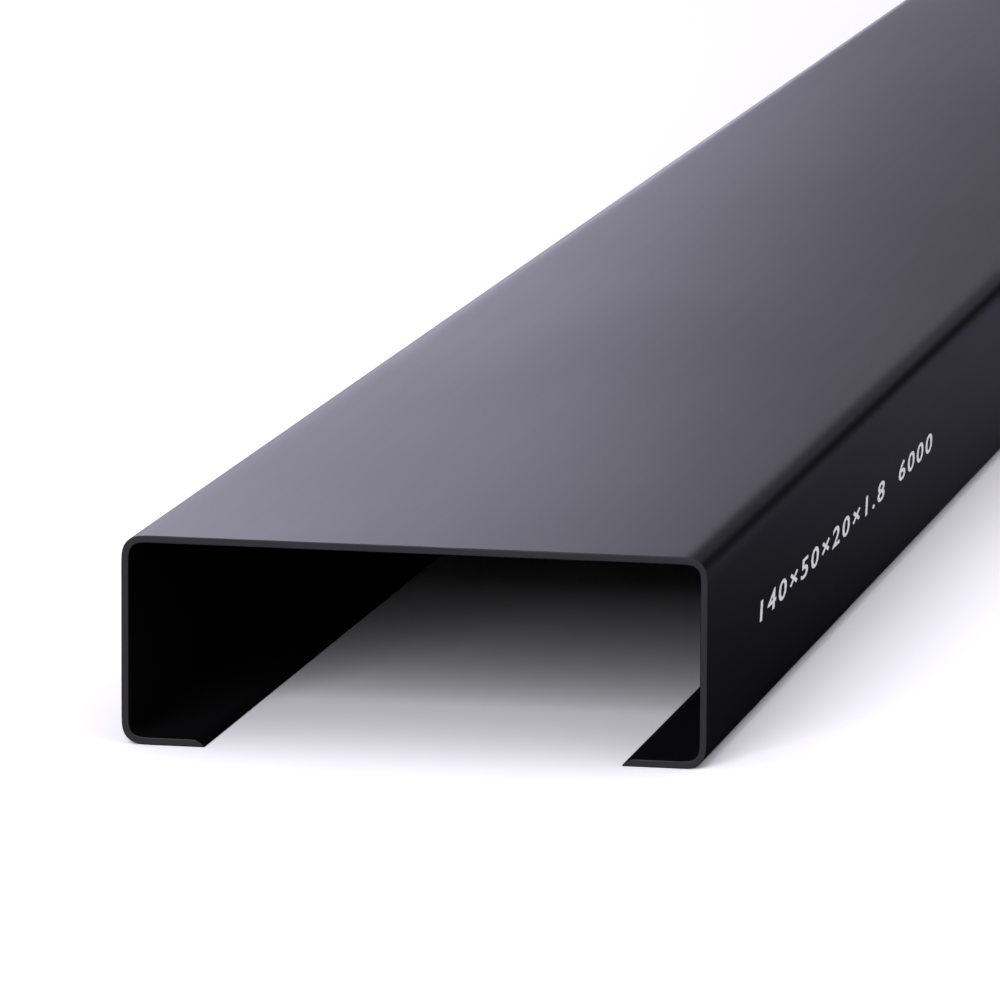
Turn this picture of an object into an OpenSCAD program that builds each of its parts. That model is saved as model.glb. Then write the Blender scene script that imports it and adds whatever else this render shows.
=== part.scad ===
// Cold-formed lipped channel, also called a C purlin, cut to stock length.
// It lies on its two lips with the web on top. The length runs along Y.
// The origin is under the middle of the web, level with the lips' outer faces.

/* [Section] */
// Depth of the section, measured across the outer faces of the two flanges
web_depth = 140; // [100:5:250]
// Width of each flange, measured from the web's outer face to the lip's outer face
flange_width = 50; // [40:1:80]
// Depth of each lip, measured from the flange's outer face to the free edge
lip_depth = 20; // [16:1:25]
// Thickness of the strip that the section is rolled from
strip_thickness = 1.8; // [1.6:0.1:3.2]
// Inside radius of the four bends
bend_inside_radius = 2.7; // [1:0.1:5]
// Width along the lip of the bevel that slitting leaves on each free edge's inner corner
slit_bevel_width = 2.2; // [0.2:0.1:4]
// Depth of that bevel into the strip's thickness
slit_bevel_depth = 1.3; // [0.2:0.1:1.5]

/* [Stock] */
// Length that the section is cut to
stock_length = 6000; // [1000:500:12000]

/* [Hidden] */
bend_outside_radius = bend_inside_radius + strip_thickness;
mouth_half_width = web_depth / 2 - lip_depth;
// How far a cutting shape runs past the face that it cuts
cut_past = 1;
arc_facets = 96;

// Rectangle standing on Z = 0 and centred on X = 0, with four round corners
module rounded_rectangle(width, height, radius) {
    centre_x = width / 2 - radius;
    translate([-width / 2, radius])
        square([width, height - 2 * radius]);
    translate([-centre_x, 0])
        square([2 * centre_x, height]);
    for (x = [-centre_x, centre_x], z = [radius, height - radius])
        translate([x, z])
            circle(r = radius, $fn = arc_facets);
}

// Closed box section that the bent strip would fill, before the mouth is opened
module closed_section() {
    difference() {
        rounded_rectangle(web_depth, flange_width, bend_outside_radius);
        translate([0, strip_thickness])
            rounded_rectangle(
                web_depth - 2 * strip_thickness,
                flange_width - 2 * strip_thickness,
                bend_inside_radius
            );
    }
}

// Gap between the free edges of the lips, wider at the top by the slitting bevels
module mouth() {
    bevel_start = strip_thickness - slit_bevel_depth;
    bevel_slope = slit_bevel_width / slit_bevel_depth;
    top = strip_thickness + cut_past;
    top_half_width = mouth_half_width + bevel_slope * (top - bevel_start);
    polygon([
        [-mouth_half_width, -cut_past],
        [mouth_half_width, -cut_past],
        [mouth_half_width, bevel_start],
        [top_half_width, top],
        [-top_half_width, top],
        [-mouth_half_width, bevel_start]
    ]);
}

// Cross-section of the purlin: web on top, flanges at the sides, lips turned in below
module lipped_channel_section() {
    difference() {
        closed_section();
        mouth();
    }
}

// The whole purlin, one strip bent four times and sheared square at both ends
module c_purlin() {
    color([0.13, 0.13, 0.15])
        rotate([90, 0, 0])
            linear_extrude(height = stock_length, center = true)
                lipped_channel_section();
}

c_purlin();
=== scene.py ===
"""Looks of a C purlin: a lipped channel of cold-formed strip in satin black paint.

It lies on its two lips on a pale studio floor, and the camera looks along its length.
"""

import math

import bmesh
import bpy
from mathutils import Matrix, Vector


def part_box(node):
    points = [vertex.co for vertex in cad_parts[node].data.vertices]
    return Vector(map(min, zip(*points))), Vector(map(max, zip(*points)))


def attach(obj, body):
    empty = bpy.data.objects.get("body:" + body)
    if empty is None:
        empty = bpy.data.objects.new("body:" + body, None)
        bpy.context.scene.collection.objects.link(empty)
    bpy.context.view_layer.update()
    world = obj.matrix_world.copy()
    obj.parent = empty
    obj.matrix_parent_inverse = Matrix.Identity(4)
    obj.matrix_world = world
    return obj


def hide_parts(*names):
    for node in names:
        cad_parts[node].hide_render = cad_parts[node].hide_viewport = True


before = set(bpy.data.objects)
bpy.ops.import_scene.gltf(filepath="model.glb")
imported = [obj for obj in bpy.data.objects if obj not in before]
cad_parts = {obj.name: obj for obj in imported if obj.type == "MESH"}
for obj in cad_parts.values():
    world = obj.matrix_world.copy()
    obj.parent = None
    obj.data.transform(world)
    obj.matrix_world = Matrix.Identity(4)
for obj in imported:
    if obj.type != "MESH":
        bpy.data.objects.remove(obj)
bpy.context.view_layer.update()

# Section, in metres: its depth, width and length come from the frame
low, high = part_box("c_purlin")
WEB_DEPTH = high.x - low.x
FLANGE_WIDTH = high.z - low.z
STOCK_LENGTH = high.y - low.y
LIP_DEPTH = 0.020
MOUTH_HALF_WIDTH = WEB_DEPTH / 2 - LIP_DEPTH
STRIP_THICKNESS = 0.0018
BEND_OUTSIDE_RADIUS = 0.0045
BEND_SEGMENTS = 12

# Rolled bends run out into the flats beside them: over this width, in these many cuts and passes
RUN_OUT = 0.005
RUN_OUT_CUTS = 7
RUN_OUT_PASSES = 16
RUN_OUT_SHARE = 0.5

# Edges: slitting bevels the lips' inner corners, wider than deep, and shearing rolls the ends' over
SLIT_BEVEL_WIDTH = 0.0022
SLIT_BEVEL_DEPTH = 0.0013
SLIT_BEVEL_ROUND = 0.0004
SLIT_ROUND_SEGMENTS = 2
SHEARED_ROLL = 0.0002
SHEARED_SEGMENTS = 3

# How near a place counts as on it, and how much of a face's normal is along Y on a sheared end
NEAR = STRIP_THICKNESS / 20
FACING_ALONG = 0.99

# Shading: edges sharper than this angle, in degrees, stay crisp, and wide faces look flat
SHARP_ANGLE = 35
FLAT_FACE_WEIGHT = 100

# Plain size numbers on the right flange: height, stretch along the length, place and pitch
MARK_TEXT = "140×50×20×1.8  6000"
MARK_HEIGHT = 0.0048
MARK_STRETCH = 3.45
MARK_SPACING = 1.25
MARK_SLANT = 0.08
MARK_BOLDNESS = 0.00010
MARK_START = 0.065
MARK_PITCH = 0.750
MARK_COUNT = 8
MARK_CURVE_STEPS = 3
INK_THICKNESS = 0.00004
INK_SUNK_SHARE = 0.25
SAME_POINT = 1e-7

# Height of a figure as a share of the font's size
CAP_SHARE = 0.70

# Turns text that lies on the floor so that it stands on the right flange and reads along +Y
READING_ALONG_Y = Matrix(((0, 0, 1, 0), (1, 0, 0, 0), (0, 1, 0, 0), (0, 0, 0, 1)))

# Camera, set to the photograph's view: place in metres, angles in degrees
CAMERA_PLACE = (0.4481, -5.0847, 0.4227)
CAMERA_TURN = 11.587
CAMERA_DIP = 9.627
CAMERA_ROLL = 0.290
LENS_MM = 334.55
CLIP_NEAR = 0.05
CLIP_FAR = 500

# Sockets of a colour mix: its two colours and its result
MIX_DARK = 6
MIX_LIGHT = 7
MIX_RESULT = 2

# Studio floor: its colour in plain light, and the lift that the camera sees on top of white
FLOOR_REACH = 400
FLOOR_PALE = (0.8, 0.8, 0.8, 1)
FLOOR_LIFT = (0.2, 0.2, 0.2, 1)
WHITE = (1, 1, 1, 1)

# Floor in the paint's sheen, a painted reflection that brightens the sheen towards the far part: its
# colours near and far, and the places on Y between which it changes
SHEEN_FLOOR_NEAR = (0.033, 0.032, 0.039)
SHEEN_FLOOR_FAR = (0.27, 0.26, 0.32)
SHEEN_FLOOR_FROM = -2.9
SHEEN_FLOOR_TO = -2.2

# Light of the world on everything, and in the sheen; both colours are a little violet
FILL_COLOUR = (1.02, 1.0, 1.09, 1)
FILL_STRENGTH = 0.74
SHEEN_COLOUR = (1.03, 1.0, 1.24, 1)
SHEEN_STRENGTH = 0.01


def link(thing):
    """Put an object in the scene."""
    bpy.context.scene.collection.objects.link(thing)
    return thing


def set_camera():
    """Look along +Y, turned a little to the left and down, with a long lens."""
    turn, dip, roll = (math.radians(a) for a in (CAMERA_TURN, CAMERA_DIP, CAMERA_ROLL))
    flat = math.cos(dip)
    ahead = Vector((-math.sin(turn) * flat, math.cos(turn) * flat, -math.sin(dip)))
    level = Vector((math.cos(turn), math.sin(turn), 0))
    upright = level.cross(ahead)
    right = math.cos(roll) * level + math.sin(roll) * upright
    up = math.cos(roll) * upright - math.sin(roll) * level
    data = bpy.data.cameras.new("camera")
    data.lens = LENS_MM
    data.clip_start = CLIP_NEAR
    data.clip_end = CLIP_FAR
    camera = link(bpy.data.objects.new("camera", data))
    turned = Matrix((right, up, -ahead)).transposed().to_4x4()
    camera.matrix_world = Matrix.Translation(CAMERA_PLACE) @ turned
    bpy.context.scene.camera = camera


def add_node(tree, kind, inputs=None, **fields):
    """Add a shader node: fields are its settings, inputs its values or the sockets linked to it."""
    node = tree.nodes.new(kind)
    for field, value in fields.items():
        setattr(node, field, value)
    for name, value in (inputs or {}).items():
        if isinstance(value, bpy.types.NodeSocket):
            tree.links.new(value, node.inputs[name])
        else:
            node.inputs[name].default_value = value
    return node


def new_material(name):
    """Start a material with an empty node tree."""
    material = bpy.data.materials.new(name)
    material.use_nodes = True
    material.node_tree.nodes.clear()
    return material, material.node_tree


def noise_at(tree, scale, detail, stretch=(1, 1, 1)):
    """Noise on Object coordinates, its scale in features per metre; stretch squeezes it by axis."""
    place = add_node(tree, "ShaderNodeTexCoord").outputs["Object"]
    squeezed = add_node(tree, "ShaderNodeMapping", {"Vector": place, "Scale": stretch})
    return add_node(
        tree, "ShaderNodeTexNoise",
        {"Vector": squeezed.outputs["Vector"], "Scale": scale, "Detail": detail},
    ).outputs["Fac"]


def spread(tree, value, low_out, high_out, low_in=0.3, high_in=0.7):
    """Map a noise value to a range."""
    return add_node(
        tree, "ShaderNodeMapRange",
        {"Value": value, "From Min": low_in, "From Max": high_in, "To Min": low_out, "To Max": high_out},
    ).outputs["Result"]


def tint(tree, factor, dark, light):
    """Mix two colours by a factor."""
    mix = add_node(tree, "ShaderNodeMix", data_type="RGBA")
    tree.links.new(factor, mix.inputs["Factor"])
    mix.inputs[MIX_DARK].default_value = (*dark, 1)
    mix.inputs[MIX_LIGHT].default_value = (*light, 1)
    return mix.outputs[MIX_RESULT]


def surface(tree, colour, roughness, height, depth):
    """Finish a material with one Principled shader and a bump of the given depth in metres."""
    bump = add_node(tree, "ShaderNodeBump", {"Height": height, "Distance": depth, "Strength": 1.0})
    shader = add_node(
        tree, "ShaderNodeBsdfPrincipled",
        {"Base Color": colour, "Roughness": roughness, "Normal": bump.outputs["Normal"]},
    )
    add_node(tree, "ShaderNodeOutputMaterial", {"Surface": shader.outputs["BSDF"]})
    return shader


def satin_black_paint():
    """Thin black paint on rolled strip: soft clouds in the film, and faint marks of the rolls."""
    material, tree = new_material("satin_black_paint")
    clouds = noise_at(tree, scale=14.0, detail=3.0, stretch=(1, 0.35, 1))
    roll_marks = noise_at(tree, scale=420.0, detail=2.0, stretch=(1, 0.004, 1))
    orange_peel = noise_at(tree, scale=900.0, detail=1.0)
    colour = tint(tree, clouds, dark=(0.0027, 0.0025, 0.0037), light=(0.0035, 0.0033, 0.0047))
    roll_share = 0.35
    film = add_node(tree, "ShaderNodeMath", {0: roll_marks, 1: roll_share}, operation="MULTIPLY").outputs[0]
    grain = add_node(tree, "ShaderNodeMath", {0: clouds, 1: film}, operation="ADD").outputs[0]
    roughness = spread(tree, grain, low_out=0.44, high_out=0.47, low_in=0.45, high_in=0.90)
    surface(tree, colour, roughness, orange_peel, depth=0.000006)
    return material


def sheared_edge_with_painted_light():
    """Cut end of the strip: the same paint over a sheared face, duller, and paler as painted light standing
    in for the front light on the ends.
    """
    material, tree = new_material("sheared_edge_with_painted_light")
    tears = noise_at(tree, scale=1400.0, detail=2.0, stretch=(1, 1, 0.25))
    # Painted light: the ends are paler than the paint to stand in for front light on them; the tears vary
    # it at random
    colour = tint(tree, tears, dark=(0.0105, 0.0098, 0.0125), light=(0.0155, 0.0145, 0.0180))
    roughness = spread(tree, tears, low_out=0.60, high_out=0.70)
    shader = surface(tree, colour, roughness, tears, depth=0.00005)
    shader.inputs["Specular IOR Level"].default_value = 0.35
    return material


def marking_ink():
    """White ink of the size numbers, thin enough for the paint to show through in specks."""
    material, tree = new_material("marking_ink")
    specks = noise_at(tree, scale=1500.0, detail=2.0)
    cover = spread(tree, specks, low_out=0.0, high_out=1.0, low_in=0.30, high_in=0.42)
    colour = tint(tree, cover, dark=(0.45, 0.45, 0.47), light=(0.95, 0.95, 0.95))
    roughness = spread(tree, specks, low_out=0.50, high_out=0.65)
    surface(tree, colour, roughness, specks, depth=0.00001)
    return material


def outline_corners():
    """Sharp corners of the strip's outer face, from one lip's free edge round to the other's."""
    web, lip = WEB_DEPTH / 2, MOUTH_HALF_WIDTH
    return [(-lip, 0), (-web, 0), (-web, FLANGE_WIDTH), (web, FLANGE_WIDTH), (web, 0), (lip, 0)]


def bevel(bm, edges, offset, segments):
    """Bevel edges with Blender's operator."""
    bmesh.ops.bevel(
        bm, geom=edges, affect="EDGES", offset=offset, offset_type="OFFSET",
        segments=segments, profile=0.5, material=-1,
    )


def is_end_face(face):
    """Tell whether a face is part of one of the two sheared ends."""
    return abs(face.normal.y) > FACING_ALONG


def long_edges_at(bm, from_free_edge, height):
    """Edges that run along both lips, a given way from their free edges and above the floor."""
    found = []
    for edge in bm.edges:
        middle = (edge.verts[0].co + edge.verts[1].co) / 2
        beside = abs(abs(middle.x) - MOUTH_HALF_WIDTH - from_free_edge) < NEAR
        if beside and abs(middle.z - height) < NEAR and edge.calc_length() > STOCK_LENGTH / 2:
            found.append(edge)
    return found


def bevel_slit_edges(bm):
    """Bevel the lips' inner corners by the bevel's depth, then draw the bevels out and round them."""
    bevel(bm, long_edges_at(bm, 0, STRIP_THICKNESS), SLIT_BEVEL_DEPTH, 1)
    drawn_out = (SLIT_BEVEL_WIDTH / SLIT_BEVEL_DEPTH, 1, 1)
    for side in (-1, 1):
        bevelled = [
            v for v in bm.verts
            if NEAR < side * v.co.x - MOUTH_HALF_WIDTH < SLIT_BEVEL_DEPTH + NEAR
        ]
        free_edge = Matrix.Translation((-side * MOUTH_HALF_WIDTH, 0, 0))
        bmesh.ops.scale(bm, vec=drawn_out, space=free_edge, verts=bevelled)
    low_sides = long_edges_at(bm, 0, STRIP_THICKNESS - SLIT_BEVEL_DEPTH)
    high_sides = long_edges_at(bm, SLIT_BEVEL_WIDTH, STRIP_THICKNESS)
    bevel(bm, low_sides + high_sides, SLIT_BEVEL_ROUND, SLIT_ROUND_SEGMENTS)


def cut_across(bm, place, direction):
    """Cut new edges where a plane crosses the strip."""
    whole = bm.verts[:] + bm.edges[:] + bm.faces[:]
    bmesh.ops.bisect_plane(bm, geom=whole, plane_co=place, plane_no=direction)


def soften_bends(bm):
    """Let the bends run out into the flats beside them, so that no line marks where they start."""
    for step in range(1, RUN_OUT_CUTS + 1):
        reach = BEND_OUTSIDE_RADIUS + RUN_OUT * step / RUN_OUT_CUTS
        for x in (reach - WEB_DEPTH / 2, WEB_DEPTH / 2 - reach):
            cut_across(bm, (x, 0, 0), (1, 0, 0))
        for z in (reach, FLANGE_WIDTH - reach):
            cut_across(bm, (0, 0, z), (0, 0, 1))
    # The last cut stays where it is, so the reach ends half a cut before it
    reach = BEND_OUTSIDE_RADIUS + RUN_OUT * (1 - 0.5 / RUN_OUT_CUTS)
    near_bends = [
        v for v in bm.verts
        if abs(v.co.x) > WEB_DEPTH / 2 - reach and abs(v.co.z - FLANGE_WIDTH / 2) > FLANGE_WIDTH / 2 - reach
    ]
    for _ in range(RUN_OUT_PASSES):
        bmesh.ops.smooth_vert(
            bm, verts=near_bends, factor=RUN_OUT_SHARE, use_axis_x=True, use_axis_z=True,
        )


def bent_strip():
    """Sweep the outline, round the four bends, thicken the strip inwards and break its edges."""
    bm = bmesh.new()
    points = [bm.verts.new((x, low.y, z)) for x, z in outline_corners()]
    outline = [bm.edges.new(pair) for pair in zip(points, points[1:])]
    swept = bmesh.ops.extrude_edge_only(bm, edges=outline)
    far_points = [part for part in swept["geom"] if isinstance(part, bmesh.types.BMVert)]
    bmesh.ops.translate(bm, verts=far_points, vec=(0, STOCK_LENGTH, 0))
    bmesh.ops.recalc_face_normals(bm, faces=bm.faces)
    web = max(bm.faces, key=lambda face: face.calc_center_median().z)
    if web.normal.z < 0:
        bmesh.ops.reverse_faces(bm, faces=bm.faces)
    bevel(bm, [e for e in bm.edges if len(e.link_faces) == 2], BEND_OUTSIDE_RADIUS, BEND_SEGMENTS)
    soften_bends(bm)
    bmesh.ops.solidify(bm, geom=bm.faces[:], thickness=STRIP_THICKNESS)
    bevel_slit_edges(bm)
    bm.normal_update()
    rims = [e for e in bm.edges if sum(is_end_face(face) for face in e.link_faces) == 1]
    bevel(bm, rims, SHEARED_ROLL, SHEARED_SEGMENTS)
    return bm


def purlin():
    """The purlin as painted, with its two sheared ends in their own finish, whose paler colour is painted
    light.
    """
    bm = bent_strip()
    bm.normal_update()
    for face in bm.faces:
        face.smooth = True
        face.material_index = 1 if is_end_face(face) else 0
    mesh = bpy.data.meshes.new("c_purlin_painted")
    bm.to_mesh(mesh)
    bm.free()
    mesh.materials.append(satin_black_paint())
    mesh.materials.append(sheared_edge_with_painted_light())
    mesh.set_sharp_from_angle(angle=math.radians(SHARP_ANGLE))
    piece = link(bpy.data.objects.new("c_purlin_painted", mesh))
    flat_faces = piece.modifiers.new("flat_faces", "WEIGHTED_NORMAL")
    flat_faces.keep_sharp = True
    flat_faces.weight = FLAT_FACE_WEIGHT
    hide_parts("c_purlin")
    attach(piece, "root")


def written_numbers():
    """Mesh of the size numbers, lying at the origin and as thick as the ink."""
    curve = bpy.data.curves.new("size_mark", "FONT")
    curve.body = MARK_TEXT
    curve.size = MARK_HEIGHT / CAP_SHARE
    curve.space_character = MARK_SPACING
    curve.shear = MARK_SLANT
    curve.offset = MARK_BOLDNESS
    curve.extrude = INK_THICKNESS / 2
    curve.resolution_u = MARK_CURVE_STEPS
    written = link(bpy.data.objects.new("size_mark_text", curve))
    evaluated = written.evaluated_get(bpy.context.evaluated_depsgraph_get())
    mesh = bpy.data.meshes.new_from_object(evaluated)
    bpy.data.objects.remove(written)
    return mesh


def size_mark():
    """Plain size numbers along the right flange, stretched as a marking line prints them."""
    mesh = written_numbers()
    bm = bmesh.new()
    bm.from_mesh(mesh)
    bmesh.ops.remove_doubles(bm, verts=bm.verts, dist=SAME_POINT)
    stretched = Matrix.Diagonal((MARK_STRETCH, 1, 1, 1))
    bmesh.ops.transform(bm, verts=bm.verts, matrix=READING_ALONG_Y @ stretched)
    ink_middle = high.x + INK_THICKNESS * (0.5 - INK_SUNK_SHARE)
    start = (ink_middle, low.y + MARK_START, (FLANGE_WIDTH - MARK_HEIGHT) / 2)
    bmesh.ops.translate(bm, verts=bm.verts, vec=start)
    one_mark = bm.verts[:] + bm.edges[:] + bm.faces[:]
    for number in range(1, MARK_COUNT):
        copied = bmesh.ops.duplicate(bm, geom=one_mark)["geom"]
        copied_points = [part for part in copied if isinstance(part, bmesh.types.BMVert)]
        bmesh.ops.translate(bm, verts=copied_points, vec=(0, number * MARK_PITCH, 0))
    bmesh.ops.recalc_face_normals(bm, faces=bm.faces)
    bm.to_mesh(mesh)
    bm.free()
    mesh.name = "size_mark"
    mesh.materials.clear()
    mesh.materials.append(marking_ink())
    piece = link(bpy.data.objects.new("size_mark", mesh))
    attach(piece, "root")


def by_ray(tree, plain, glossy, seen):
    """Choose a shader by the ray that meets it: a glossy ray, the camera's own ray or any other."""
    ray = add_node(tree, "ShaderNodeLightPath")
    lit = add_node(tree, "ShaderNodeMixShader", {0: ray.outputs["Is Glossy Ray"], 1: plain, 2: glossy})
    return add_node(
        tree, "ShaderNodeMixShader",
        {0: ray.outputs["Is Camera Ray"], 1: lit.outputs[0], 2: seen},
    ).outputs[0]


def floor_material():
    """Pale in light, white to the camera apart from shadows, and in the paint's sheen a painted reflection,
    dim near and paler further along Y.
    """
    material, tree = new_material("pale_floor")
    place = add_node(tree, "ShaderNodeTexCoord").outputs["Object"]
    along = add_node(tree, "ShaderNodeSeparateXYZ", {"Vector": place}).outputs["Y"]
    further = add_node(
        tree, "ShaderNodeMapRange",
        {"Value": along, "From Min": SHEEN_FLOOR_FROM, "From Max": SHEEN_FLOOR_TO},
        interpolation_type="SMOOTHSTEP",
    ).outputs["Result"]
    # Painted reflection: the floor as the sheen sees it is darker near the near end and paler further along
    # Y
    painted_reflection_colour = tint(tree, further, dark=SHEEN_FLOOR_NEAR, light=SHEEN_FLOOR_FAR)
    dim = add_node(tree, "ShaderNodeBsdfDiffuse", {"Color": painted_reflection_colour}).outputs[0]
    pale = add_node(tree, "ShaderNodeBsdfDiffuse", {"Color": FLOOR_PALE}).outputs[0]
    white = add_node(tree, "ShaderNodeBsdfDiffuse", {"Color": WHITE}).outputs[0]
    lift = add_node(tree, "ShaderNodeBsdfDiffuse", {"Color": FLOOR_LIFT}).outputs[0]
    seen = add_node(tree, "ShaderNodeAddShader", {0: white, 1: lift}).outputs[0]
    both = by_ray(tree, pale, dim, seen)
    add_node(tree, "ShaderNodeOutputMaterial", {"Surface": both})
    return material


def studio_floor():
    """Wide flat floor under the lips."""
    bm = bmesh.new()
    bmesh.ops.create_grid(bm, x_segments=1, y_segments=1, size=FLOOR_REACH)
    mesh = bpy.data.meshes.new("studio_floor")
    bm.to_mesh(mesh)
    bm.free()
    mesh.materials.append(floor_material())
    link(bpy.data.objects.new("studio_floor", mesh))


def soft_lamp(name, place, aim, width, height, radiance, colour):
    """Rectangular soft lamp that the camera doesn't see; radiance is its brightness, 1 being white."""
    data = bpy.data.lights.new(name, "AREA")
    data.shape = "RECTANGLE"
    data.size = width
    data.size_y = height
    data.color = colour[:3]
    data.energy = radiance * width * height * math.pi
    lamp = link(bpy.data.objects.new(name, data))
    toward = (Vector(aim) - Vector(place)).normalized()
    turned = toward.to_track_quat("-Z", "Y").to_matrix().to_4x4()
    lamp.matrix_world = Matrix.Translation(place) @ turned
    lamp.visible_camera = False
    return lamp


def sheen_lamp(name, place, aim, width, height, radiance):
    """Soft lamp that only makes the paint's sheen."""
    lamp = soft_lamp(name, place, aim, width, height, radiance, SHEEN_COLOUR)
    lamp.visible_diffuse = False


def studio_world():
    """Even light on everything, white to the camera and almost black in the paint's sheen."""
    world = bpy.data.worlds.new("studio_world")
    bpy.context.scene.world = world
    world.use_nodes = True
    tree = world.node_tree
    tree.nodes.clear()
    fill = add_node(tree, "ShaderNodeBackground", {"Color": FILL_COLOUR, "Strength": FILL_STRENGTH})
    dim = add_node(tree, "ShaderNodeBackground", {"Color": SHEEN_COLOUR, "Strength": SHEEN_STRENGTH})
    white = add_node(tree, "ShaderNodeBackground", {"Color": WHITE})
    both = by_ray(tree, fill.outputs[0], dim.outputs[0], white.outputs[0])
    add_node(tree, "ShaderNodeOutputWorld", {"Surface": both})


def studio_lamps():
    """A soft lamp in front, two low walls beside the purlin and a panel above its far part."""
    soft_lamp(
        "front_lamp", place=(-0.42, -6.0, 1.4), aim=(0, low.y, 0),
        width=1.5, height=1.5, radiance=11.8, colour=FILL_COLOUR,
    )
    sheen_lamp(
        "near_wall", place=(-0.3, -2.2, 0.31), aim=(0, -2.2, 0.31),
        width=1.6, height=0.18, radiance=5.0,
    )
    sheen_lamp(
        "far_wall", place=(-0.3, 0.9, 0.17), aim=(0, 0.9, 0.17),
        width=4.6, height=0.18, radiance=3.6,
    )
    sheen_lamp(
        "end_panel", place=(0.1, 2.0, 0.9), aim=(0.1, low.y, 0.9),
        width=1.1, height=0.7, radiance=0.58,
    )


bpy.context.scene.view_settings.view_transform = "Standard"
set_camera()
studio_floor()
studio_world()
studio_lamps()
purlin()
size_mark()
